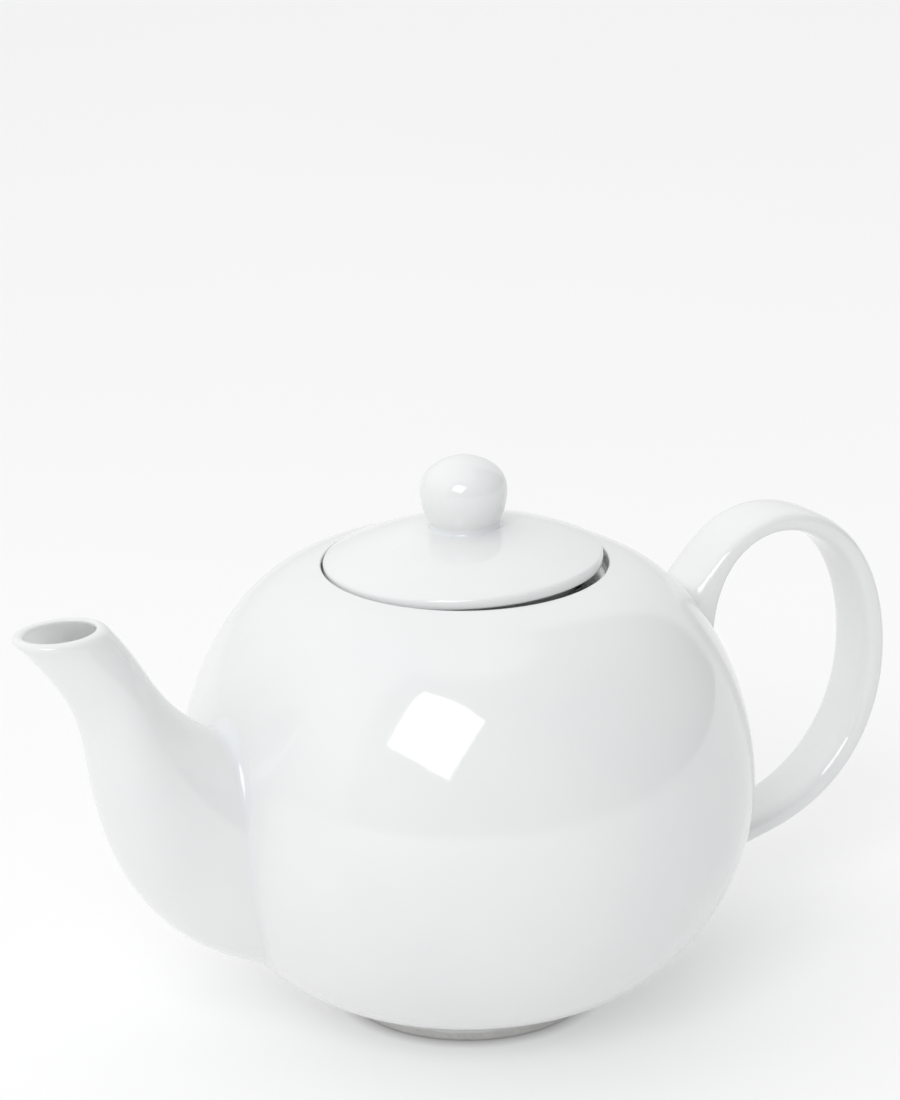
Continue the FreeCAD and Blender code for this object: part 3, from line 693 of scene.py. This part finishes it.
def sleeve_mesh():
    """The steel sleeve with its staggered small holes, both faces and the holes' walls."""
    vertices, faces, known = [], [], {}
    halves = 2 * HOLE_COLUMNS

    def point(turn, height, inner, key=None):
        if key is not None and key in known:
            return known[key]
        radius = sleeve_radius(height) - (SHEET if inner else 0)
        vertices.append((radius * cos(turn), radius * sin(turn), height))
        if key is not None:
            known[key] = len(vertices) - 1
        return len(vertices) - 1

    def ring_point(half, height, inner):
        half %= halves
        return point(2 * pi * half / halves, height, inner, (half, round(height, 3), inner))

    edges = [HOLES_FROM + HOLE_PITCH * k for k in range(HOLE_ROWS + 1)]
    taper_start, taper_end = TAPER_HEIGHTS
    plain = [SLEEVE_BOTTOM, 37.0, 40.25, taper_start, 46.0, 48.0, HOLES_FROM]
    halfway = edges[-1] + 0.5 * (taper_end - edges[-1])
    plain_above = [edges[-1], halfway, taper_end, 109.4, 111.4, 113.4, 115.0, SLEEVE_TOP]
    for inner in (False, True):
        for heights in (plain, plain_above):
            for low, high in zip(heights, heights[1:]):
                for half in range(halves):
                    corners = [
                        ring_point(half, low, inner),
                        ring_point(half + 1, low, inner),
                        ring_point(half + 1, high, inner),
                        ring_point(half, high, inner),
                    ]
                    faces.append(tuple(corners))
    for half in range(halves):
        for height in (plain[0], plain_above[-1]):
            faces.append(
                (
                    ring_point(half, height, False),
                    ring_point(half + 1, height, False),
                    ring_point(half + 1, height, True),
                    ring_point(half, height, True),
                )
            )
    for row in range(HOLE_ROWS):
        low, high = edges[row], edges[row + 1]
        centre_height = (low + high) / 2
        for column in range(HOLE_COLUMNS):
            start = 2 * column + row % 2
            middle = 2 * pi * (start + 1) / halves
            rims = []
            for inner in (False, True):
                border = [
                    ring_point(start, low, inner),
                    ring_point(start + 1, low, inner),
                    ring_point(start + 2, low, inner),
                    ring_point(start + 2, high, inner),
                    ring_point(start + 1, high, inner),
                    ring_point(start, high, inner),
                ]
                radius = sleeve_radius(centre_height)
                rim = []
                for k in range(HOLE_SIDES):
                    turn = HOLE_FIRST + 2 * pi * k / HOLE_SIDES
                    offset = HOLE_RADIUS * cos(turn) / radius
                    height = centre_height + HOLE_RADIUS * sin(turn)
                    rim.append(point(middle + offset, height, inner))
                for k, (first, last) in enumerate(zip(HOLE_ARCS, HOLE_ARCS[1:])):
                    after = (k + 1) % len(border)
                    arc_points = [rim[m % HOLE_SIDES] for m in range(first, last + 1)]
                    faces.append(tuple([border[k], border[after]] + arc_points[::-1]))
                rims.append(rim)
            for k in range(HOLE_SIDES):
                after = (k + 1) % HOLE_SIDES
                faces.append((rims[0][k], rims[0][after], rims[1][after], rims[1][k]))
    return vertices, faces


COLLAR_INNER, COLLAR_OUTER, COLLAR_BOTTOM = 31.4, 32.2, 108.4
FLANGE_RADIUS = 36.1
rim_outline = rounded(
    [
        (COLLAR_INNER + 0.4, LID_SEAT, 0),
        (COLLAR_INNER, LID_SEAT, 0.3),
        (COLLAR_INNER, COLLAR_BOTTOM, 0.2),
        (COLLAR_OUTER, COLLAR_BOTTOM, 0.2),
        (COLLAR_OUTER, LEDGE_TOP, 0.5),
        (FLANGE_RADIUS, LEDGE_TOP, 0.35),
        (FLANGE_RADIUS, LID_SEAT, 0.35),
        (COLLAR_OUTER + 0.8, LID_SEAT, 0),
    ]
)

# ---------------------------------------------------------------- materials


def set_input(tree, socket, value):
    """Link another node's output to an input, or set the input to a plain value."""
    if isinstance(value, bpy.types.NodeSocket):
        tree.links.new(value, socket)
    else:
        socket.default_value = value


class Nodes:
    """Short calls for building the node tree of a material or of the world."""

    def __init__(self, owner, output, shader, coordinates):
        owner.use_nodes = True
        self.owner = owner
        self.tree = owner.node_tree
        self.tree.nodes.clear()
        self.shader = self.add(shader)
        self.tree.links.new(self.shader.outputs[0], self.add(output).inputs[0])
        self.place = self.add("ShaderNodeTexCoord").outputs[coordinates]

    def add(self, kind, **settings):
        """A new node of a kind, with the settings given."""
        node = self.tree.nodes.new(kind)
        for key, value in settings.items():
            setattr(node, key, value)
        return node

    def feed(self, node, **values):
        """Set or link inputs by name, with underscores for spaces."""
        for key, value in values.items():
            set_input(self.tree, node.inputs[key.replace("_", " ")], value)
        return node

    def noise(self, scale, detail=2.0, stretch=None):
        """Soft noise at a scale, with its coordinates multiplied along the axes if asked."""
        place = self.place
        if stretch is not None:
            mapping = self.add("ShaderNodeMapping")
            self.feed(mapping, Vector=place, Scale=stretch)
            place = mapping.outputs[0]
        node = self.feed(self.add("ShaderNodeTexNoise"), Vector=place, Scale=scale, Detail=detail)
        return node.outputs["Fac"]

    def remap(self, value, low, high, to_low, to_high, smooth=False):
        """A value carried from one range to another, and held at its ends."""
        node = self.add("ShaderNodeMapRange")
        if smooth:
            node.interpolation_type = "SMOOTHSTEP"
        self.feed(node, Value=value, From_Min=low, From_Max=high, To_Min=to_low, To_Max=to_high)
        return node.outputs["Result"]

    def math(self, operation, first, second=None):
        """One step of arithmetic on one or two values."""
        node = self.add("ShaderNodeMath", operation=operation)
        for socket, value in zip(node.inputs, (first, second)):
            if value is not None:
                set_input(self.tree, socket, value)
        return node.outputs[0]

    def mix(self, share, first, second):
        """A colour that goes from the first to the second as the share goes from 0 to 1."""
        node = self.add("ShaderNodeMix", data_type="RGBA")
        for index, value in ((0, share), (6, first), (7, second)):
            set_input(self.tree, node.inputs[index], value)
        return node.outputs[2]

    def bump(self, height, distance, normal=None, strength=1.0):
        """A normal tilted by a height, on top of another normal if one is given."""
        node = self.add("ShaderNodeBump")
        self.feed(node, Height=height, Distance=distance, Strength=strength)
        if normal is not None:
            self.feed(node, Normal=normal)
        return node.outputs[0]


def surface(name):
    """A new material's nodes, placed by each piece's own coordinates."""
    material = bpy.data.materials.new(name)
    return Nodes(material, "ShaderNodeOutputMaterial", "ShaderNodeBsdfPrincipled", "Object")


def specks(nodes, scale, size, rarity):
    """1 in small round spots, one in some of the cells of a loose pattern, and 0 elsewhere."""
    cells = nodes.feed(nodes.add("ShaderNodeTexVoronoi"), Vector=nodes.place, Scale=scale)
    spot = nodes.remap(cells.outputs["Distance"], size * 0.6, size, 1.0, 0.0, True)
    parts = nodes.add("ShaderNodeSeparateColor")
    nodes.tree.links.new(cells.outputs["Color"], parts.inputs[0])
    chosen = nodes.math("GREATER_THAN", parts.outputs[0], rarity)
    return nodes.math("MULTIPLY", spot, chosen)


def glaze_material():
    """Clear gloss glaze over white porcelain, a little thicker and cooler in places, with painted
    light inside the spout's bore.
    """
    nodes = surface("porcelain_glaze")
    thick = nodes.remap(nodes.noise(16.0, 3.0), 0.35, 0.68, 0.0, 1.0, True)
    clay = nodes.mix(thick, (0.815, 0.822, 0.816, 1), (0.788, 0.802, 0.803, 1))
    pools = nodes.add("ShaderNodeAttribute", attribute_name="glaze_pool")
    pooled = nodes.math("MULTIPLY", pools.outputs["Fac"], 0.25)
    clay = nodes.mix(pooled, clay, (0.70, 0.755, 0.80, 1))
    # Painted light: inside the spout's bore the glaze is given a lighter colour, standing in for
    # the light that reaches in there.
    inside = nodes.add("ShaderNodeAttribute", attribute_name="inside")
    clay = nodes.mix(inside.outputs["Fac"], clay, (0.965, 0.97, 0.965, 1))
    spots = specks(nodes, 95.0, 0.026, 0.93)
    clay = nodes.mix(nodes.math("MULTIPLY", spots, 0.75), clay, (0.30, 0.27, 0.23, 1))
    nodes.feed(nodes.shader, Base_Color=clay)
    nodes.feed(nodes.shader, Roughness=nodes.remap(nodes.noise(55.0, 4.0), 0.3, 0.75, 0.045, 0.10))
    slow = nodes.bump(nodes.noise(24.0, 1.0), 0.00045)
    peel = nodes.bump(nodes.noise(150.0, 2.0), 0.00003, slow)
    pits = nodes.bump(specks(nodes, 210.0, 0.05, 0.9), 0.00002, peel, 0.5)
    nodes.feed(nodes.shader, Normal=pits)
    nodes.shader.inputs["IOR"].default_value = 1.52
    nodes.shader.inputs["Coat Weight"].default_value = 0.35
    nodes.shader.inputs["Coat Roughness"].default_value = 0.03
    return nodes.owner


def biscuit_material():
    """Bare ground porcelain at the foot, with the glaze's edge just above the table."""
    nodes = surface("bare_porcelain")
    height = nodes.add("ShaderNodeSeparateXYZ")
    nodes.tree.links.new(nodes.place, height.inputs[0])
    wander = nodes.remap(nodes.noise(70.0, 3.0), 0.2, 0.8, -0.0008, 0.0008)
    level = nodes.math("ADD", height.outputs["Z"], wander)
    glazed = nodes.remap(level, 0.0022, 0.0027, 0.0, 1.0, True)
    bare = nodes.mix(nodes.noise(260.0, 5.0), (0.56, 0.555, 0.54, 1), (0.68, 0.675, 0.665, 1))
    dirt = nodes.remap(nodes.noise(900.0, 4.0), 0.5, 0.75, 0.0, 0.35)
    bare = nodes.mix(dirt, bare, (0.42, 0.40, 0.37, 1))
    nodes.feed(nodes.shader, Base_Color=nodes.mix(glazed, bare, (0.72, 0.73, 0.73, 1)))
    nodes.feed(nodes.shader, Roughness=nodes.remap(glazed, 0.0, 1.0, 0.72, 0.08))
    bareness = nodes.math("SUBTRACT", 1.0, glazed)
    grain = nodes.bump(nodes.math("MULTIPLY", nodes.noise(2600.0, 4.0), bareness), 0.00005)
    step = nodes.bump(glazed, 0.00012, grain)
    nodes.feed(nodes.shader, Normal=step)
    return nodes.owner


def steel_material(name, stretch, tone):
    """Brushed stainless sheet, with the brushing drawn out along one direction."""
    nodes = surface(name)
    lines = nodes.noise(1.0, 6.0, stretch)
    smudge = nodes.noise(38.0, 4.0)
    dark, light = (tuple(share * c for c in tone) + (1,) for share in (0.88, 1.06))
    colour = nodes.mix(lines, dark, light)
    colour = nodes.mix(nodes.remap(smudge, 0.45, 0.75, 0.0, 0.3), colour, (0.50, 0.475, 0.44, 1))
    nodes.feed(nodes.shader, Base_Color=colour)
    brushing = nodes.remap(lines, 0.2, 0.8, 0.18, 0.34)
    dulling = nodes.remap(smudge, 0.4, 0.8, 0.0, 0.08)
    nodes.feed(nodes.shader, Roughness=nodes.math("ADD", brushing, dulling))
    nodes.shader.inputs["Metallic"].default_value = 1.0
    nodes.shader.inputs["Anisotropic"].default_value = 0.45
    nodes.feed(nodes.shader, Normal=nodes.bump(lines, 0.00002, None, 0.6))
    return nodes.owner


glaze = glaze_material()
biscuit = biscuit_material()
steel = steel_material("brushed_steel", (60.0, 60.0, 2600.0), (0.60, 0.60, 0.61))
pressed_steel = steel_material("pressed_steel", (700.0, 700.0, 300.0), (0.62, 0.62, 0.63))
weld_steel = steel_material("welded_steel", (900.0, 900.0, 900.0), (0.50, 0.49, 0.48))

# ---------------------------------------------------------------- the pieces

SHARP_ANGLE = radians(40)
# How strongly the glaze pools round the knob's foot, and how far below its neck that stops.
KNOB_POOL, KNOB_POOL_DROP = 1.6, 0.2


def mark(mesh, name, values):
    """An attribute that the glaze reads, with one value for each vertex."""
    attribute = mesh.attributes.new(name, "FLOAT", "POINT")
    attribute.data.foreach_set("value", np.array(values, np.float32))


def mark_rows(mesh, name, rows, strengths):
    """That attribute with the given strength on each row's vertices, and 0 elsewhere."""
    count = len(rows[0])
    values = np.zeros(len(mesh.vertices))
    for row, strength in strengths.items():
        values[row * count:(row + 1) * count] = strength
    mark(mesh, name, values)


pot_mesh = make_mesh("pot_body_glazed", *turned(body_outline))
pot_mesh = bored(pot_mesh, strainer_drills())
pot_mesh.name = "pot_body_glazed"
pot_mesh.shade_smooth()
pot_mesh.set_sharp_from_angle(angle=SHARP_ANGLE)
add_piece("pot_body_glazed", pot_mesh, "pot", glaze, ["pot_body"])

spout_skin = spout_rows()
spout_mesh = make_mesh("spout_glazed", *woven(spout_skin))
fillet_pool = {1 + k: sin(pi * k / FILLET_STEPS) for k in range(1, FILLET_STEPS)}
mark_rows(spout_mesh, "glaze_pool", spout_skin, fillet_pool)
# The bore's rows are marked for the glaze's lighter colour, which is painted light inside the
# spout.
painted_light_bore_rows = range(len(spout_skin) - BORE_STEPS - 1, len(spout_skin))
mark_rows(spout_mesh, "inside", spout_skin, {row: 1.0 for row in painted_light_bore_rows})
add_piece("spout_glazed", spout_mesh, "pot", glaze, ["spout"])

handle_skin = handle_rows()
handle_mesh = make_mesh("handle_glazed", *capped(handle_skin))
add_piece("handle_glazed", handle_mesh, "pot", glaze, ["handle"])

foot_mesh = make_mesh("foot_ring_bare", *turned(foot_outline))
add_piece("foot_ring_bare", foot_mesh, "pot", biscuit, ["foot_ring"])

for name, outline, node in (
    ("lid_dome_glazed", lid_outline, "lid_dome"),
    ("lid_skirt_glazed", skirt_outline, "lid_skirt"),
    ("lid_knob_glazed", knob_outline(), "lid_knob"),
):
    vertices, faces = turned(outline)
    mesh = make_mesh(name, tipped(vertices, KNOB_OFFSET if node == "lid_knob" else 0.0), faces)
    if node == "lid_knob":
        pool_top = KNOB_NECK[1] - KNOB_POOL_DROP
        mark(mesh, "glaze_pool", [KNOB_POOL * (v[2] < pool_top) for v in vertices])
    add_piece(name, mesh, "lid", glaze, [node])

sleeve = make_mesh("infuser_sleeve", *sleeve_mesh())
sleeve.set_sharp_from_angle(angle=SHARP_ANGLE)
add_piece("infuser_sleeve", sleeve, "infuser", steel, ["infuser_wall"])
rim = make_mesh("infuser_rolled_rim", *turned(rim_outline))
add_piece("infuser_rolled_rim", rim, "infuser", pressed_steel, ["infuser_rim"])
for node, material in (
    ("infuser_base", pressed_steel),
    ("infuser_seam", steel),
    ("infuser_spot_welds", weld_steel),
):
    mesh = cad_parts[node].data
    mesh.materials.clear()
    mesh.materials.append(material)

# ---------------------------------------------------------------- floor, light and camera

FLOOR_GLOW = 0.295
FLOOR_REACH, FLOOR_DROP = 12.0, 0.0002


def floor_material():
    """A pale matt sweep, partly lit from within like a light table, with a very faint mottle.
    A painted contact shadow darkens it, and dims its glow, where something stands close above it."""
    nodes = surface("pale_floor")
    # Painted contact shadow: occlusion from anything close above darkens the floor's colour and its
    # glow.
    near = nodes.feed(nodes.add("ShaderNodeAmbientOcclusion", samples=12), Distance=0.004)
    painted_contact_shadow = nodes.remap(near.outputs["AO"], 0.0, 1.0, 0.45, 1.0)
    mottle = nodes.remap(nodes.noise(4.0), 0.0, 1.0, 0.65, 0.67)
    tone = nodes.math("MULTIPLY", mottle, painted_contact_shadow)
    nodes.feed(nodes.shader, Base_Color=nodes.mix(tone, (0, 0, 0, 1), (1, 1, 1, 1)))
    nodes.feed(nodes.shader, Emission_Strength=nodes.math("MULTIPLY", painted_contact_shadow, FLOOR_GLOW))
    nodes.shader.inputs["Emission Color"].default_value = (1.0, 1.0, 1.0, 1)
    nodes.shader.inputs["Roughness"].default_value = 0.9
    nodes.shader.inputs["Specular IOR Level"].default_value = 0.0
    return nodes.owner


floor_mesh = bpy.data.meshes.new("floor")
corners = ((-1, -1), (1, -1), (1, 1), (-1, 1))
floor_corners = [(x * FLOOR_REACH, y * FLOOR_REACH, -FLOOR_DROP) for x, y in corners]
floor_mesh.from_pydata(floor_corners, [], [(0, 1, 2, 3)])
floor = bpy.data.objects.new("floor", floor_mesh)
bpy.context.scene.collection.objects.link(floor)
floor_mesh.materials.append(floor_material())

# A white tent all round, brighter overhead and dimmer towards the room on the camera's side.
ROOM_SIDE = (0.2755, -0.9614, 0.0)
ROOM_TONE = (0.50, 0.50, 0.51, 1)
LOW_STRENGTH, HIGH_STRENGTH = 0.78, 1.17
world = bpy.data.worlds.new("studio")
bpy.context.scene.world = world
sky = Nodes(world, "ShaderNodeOutputWorld", "ShaderNodeBackground", "Generated")
facing = sky.add("ShaderNodeVectorMath", operation="DOT_PRODUCT")
sky.tree.links.new(sky.place, facing.inputs[0])
facing.inputs[1].default_value = ROOM_SIDE
split = sky.feed(sky.add("ShaderNodeSeparateXYZ"), Vector=sky.place)
roomward = sky.remap(facing.outputs["Value"], -0.12, 0.02, 0.0, 1.0, True)
below_top = sky.remap(split.outputs["Z"], 0.90, 0.96, 1.0, 0.0, True)
sky.feed(
    sky.shader,
    Color=sky.mix(sky.math("MULTIPLY", roomward, below_top), (1, 1, 1, 1), ROOM_TONE),
    Strength=sky.remap(split.outputs["Z"], 0.0, 0.8, LOW_STRENGTH, HIGH_STRENGTH),
)

# The key light: a square softbox turned on its corner, up and to the left of the camera.
KEY_DIRECTION = Vector((-0.521, -0.522, 0.587)).normalized()
KEY_SIDE = Vector((0.35, 0.063, 0.357))
KEY_DISTANCE = 2.6
KEY_SIZE = 0.49
KEY_RADIANCE = 4.4
POT_MIDDLE = Vector((0, 0, 0.09))
lamp = bpy.data.lights.new("key_softbox", "AREA")
lamp.shape = "SQUARE"
lamp.size = KEY_SIZE * KEY_DISTANCE
lamp.energy = KEY_RADIANCE * pi * lamp.size ** 2
key = bpy.data.objects.new("key_softbox", lamp)
bpy.context.scene.collection.objects.link(key)
back = KEY_DIRECTION
across = (KEY_SIDE - back * KEY_SIDE.dot(back)).normalized()
up = back.cross(across)
key.matrix_world = Matrix.Translation(POT_MIDDLE + back * KEY_DISTANCE) @ Matrix(
    (across, up, back)
).transposed().to_4x4()

camera_data = bpy.data.cameras.new("camera")
camera_data.lens = 119.96
camera_data.sensor_width = 36.0
camera_data.clip_start = 0.05
camera_data.clip_end = 60.0
camera = bpy.data.objects.new("camera", camera_data)
bpy.context.scene.collection.objects.link(camera)
CAMERA_DISTANCE, CAMERA_HEIGHT, CAMERA_AZIMUTH = 0.8846, 0.43008, -30.0
CAMERA_PITCH, CAMERA_ROLL, CAMERA_YAW = 0.3343, -0.0109, -0.0042
turn = Matrix.Rotation(radians(CAMERA_AZIMUTH), 3, "Z")
flat = cos(CAMERA_PITCH)
forward = turn @ Vector((sin(CAMERA_YAW) * flat, cos(CAMERA_YAW) * flat, -sin(CAMERA_PITCH)))
level = turn @ Vector((cos(CAMERA_YAW), -sin(CAMERA_YAW), 0))
upright = level.cross(forward)
right = level * cos(CAMERA_ROLL) + upright * sin(CAMERA_ROLL)
above = upright * cos(CAMERA_ROLL) - level * sin(CAMERA_ROLL)
stand = Matrix.Translation(turn @ Vector((0, -CAMERA_DISTANCE, CAMERA_HEIGHT)))
camera.matrix_world = stand @ Matrix((right, above, -forward)).transposed().to_4x4()
bpy.context.scene.camera = camera
bpy.context.scene.view_settings.view_transform = "Standard"
